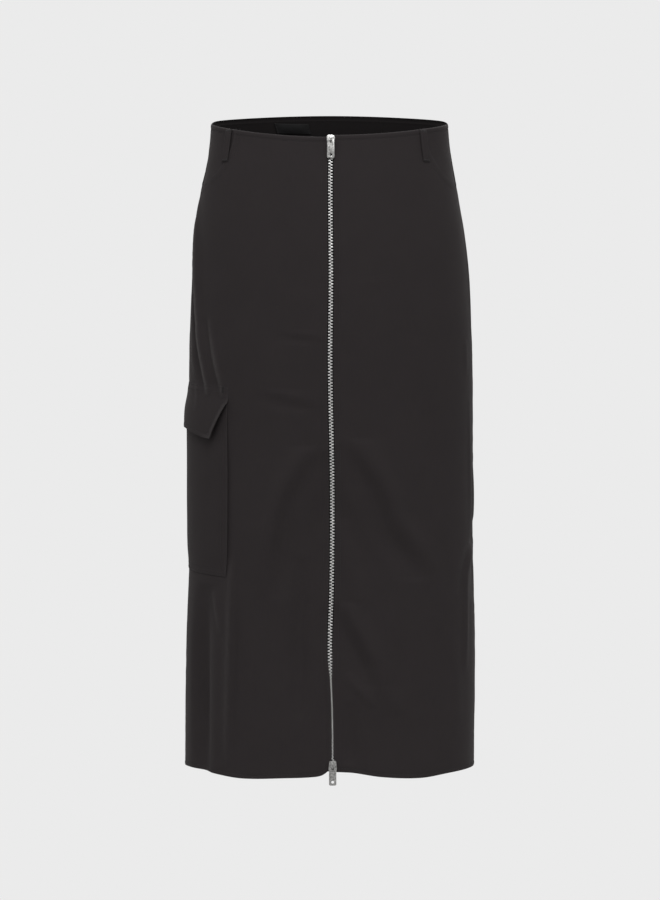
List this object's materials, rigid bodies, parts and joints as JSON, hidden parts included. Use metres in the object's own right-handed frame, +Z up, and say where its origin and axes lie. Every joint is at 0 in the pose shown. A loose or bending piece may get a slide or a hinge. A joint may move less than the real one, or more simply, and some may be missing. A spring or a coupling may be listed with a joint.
{
  "type": "straight midi skirt",
  "caption": "Straight midi skirt filled out as worn, with a metal zip down the whole front, curved hip pockets, belt loops and a flapped cargo pocket on the wearer's right side.",
  "frame": {"origin": "middle of the waist opening, level with its two side points, where the wearer's waist holds the skirt", "axes": "+Z up through the waist opening, -Y is the front with the zip, +X is the wearer's left"},
  "size_m": [0.3434, 0.2323, 0.7884],
  "materials": {
    "twill": "matte charcoal twill",
    "zip_tape": "woven black tape",
    "zip_metal": "bright silver-coloured metal",
    "label": "bare black woven label"
  },
  "bodies": {
    "skirt": {"front_right": "twill", "front_left": "twill", "back": "twill", "hip_facing_right": "twill", "hip_facing_left": "twill", "cargo_pocket": "twill", "cargo_flap": "twill", "belt_loop_front_right": "twill", "belt_loop_front_left": "twill", "belt_loop_back_left": "twill", "belt_loop_back_middle": "twill", "belt_loop_back_right": "twill", "label": "label", "zip_tape_right": "zip_tape", "zip_tape_left": "zip_tape", "zip_chain": "zip_metal", "zip_slider_top": "zip_metal", "zip_slider_bottom": "zip_metal"},
    "pull_top": {"zip_pull_top": "zip_metal"},
    "pull_bottom": {"zip_pull_bottom": "zip_metal"}
  },
  "joints": [
    {"name": "pull_top_hinge", "type": "hinge", "parent": "skirt", "child": "pull_top", "pos_m": [0.00087, -0.09825, -0.03053], "axis": [-1, 0, 0], "range_deg": [0, 165]},
    {"name": "pull_bottom_hinge", "type": "hinge", "parent": "skirt", "child": "pull_bottom", "pos_m": [0.00307, -0.10057, -0.746], "axis": [-1, 0, 0], "range_deg": [0, 165]}
  ]
}
